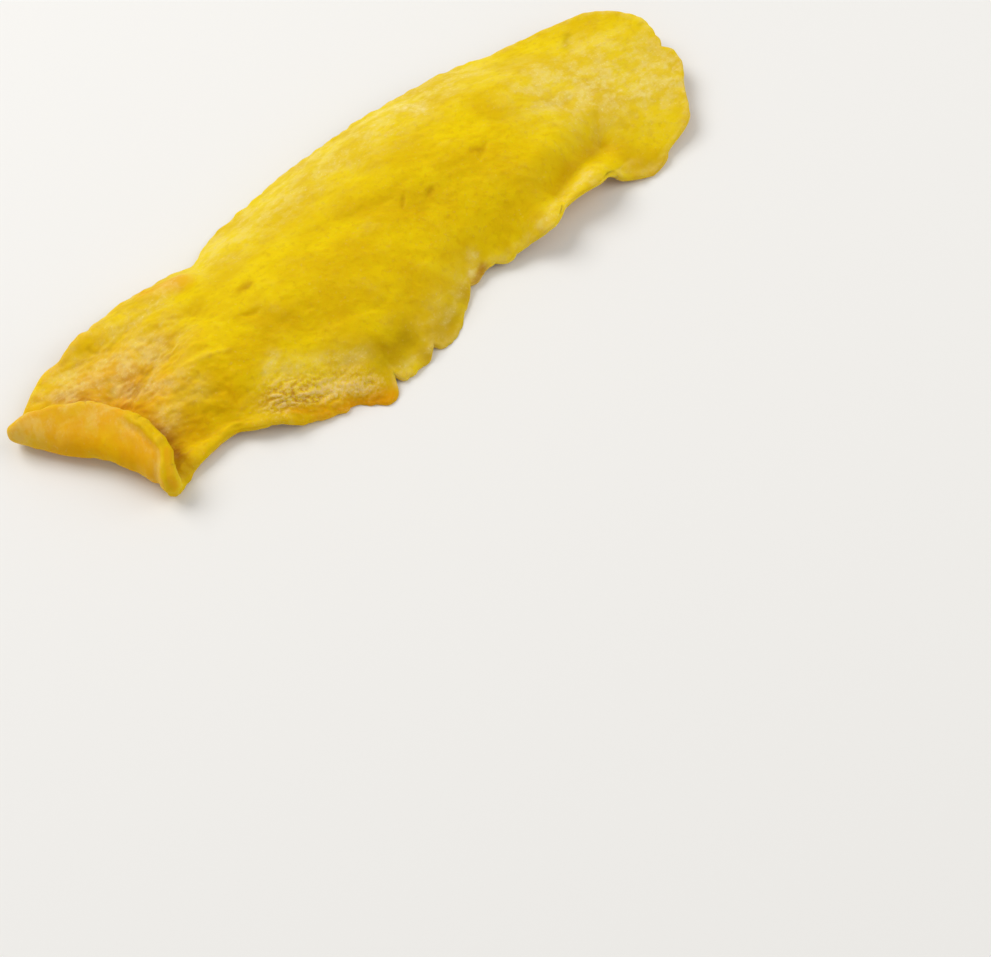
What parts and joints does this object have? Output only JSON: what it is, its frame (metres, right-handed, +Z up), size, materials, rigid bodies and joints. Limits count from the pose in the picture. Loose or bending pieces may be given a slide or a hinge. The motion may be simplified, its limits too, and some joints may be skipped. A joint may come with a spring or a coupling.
{
  "type": "dried mango slice",
  "caption": "Long leathery slice of dried yellow fruit, arched and wavy, with a curled narrow end, a bay in one edge and a torn fibrous edge strip.",
  "frame": {"origin": "on the surface that the slice lies on, under the middle of its bounding box", "axes": "+X along the slice to its broad end, +Y to its far edge, the one without the bay, +Z up out of the cut face"},
  "size_m": [0.1226, 0.0442, 0.0095],
  "materials": {
    "mango_flesh": "dried fruit flesh, leathery and slightly translucent, satin with a dull sugar bloom"
  },
  "bodies": {
    "root": {"mango_slice": "mango_flesh"}
  },
  "joints": []
}
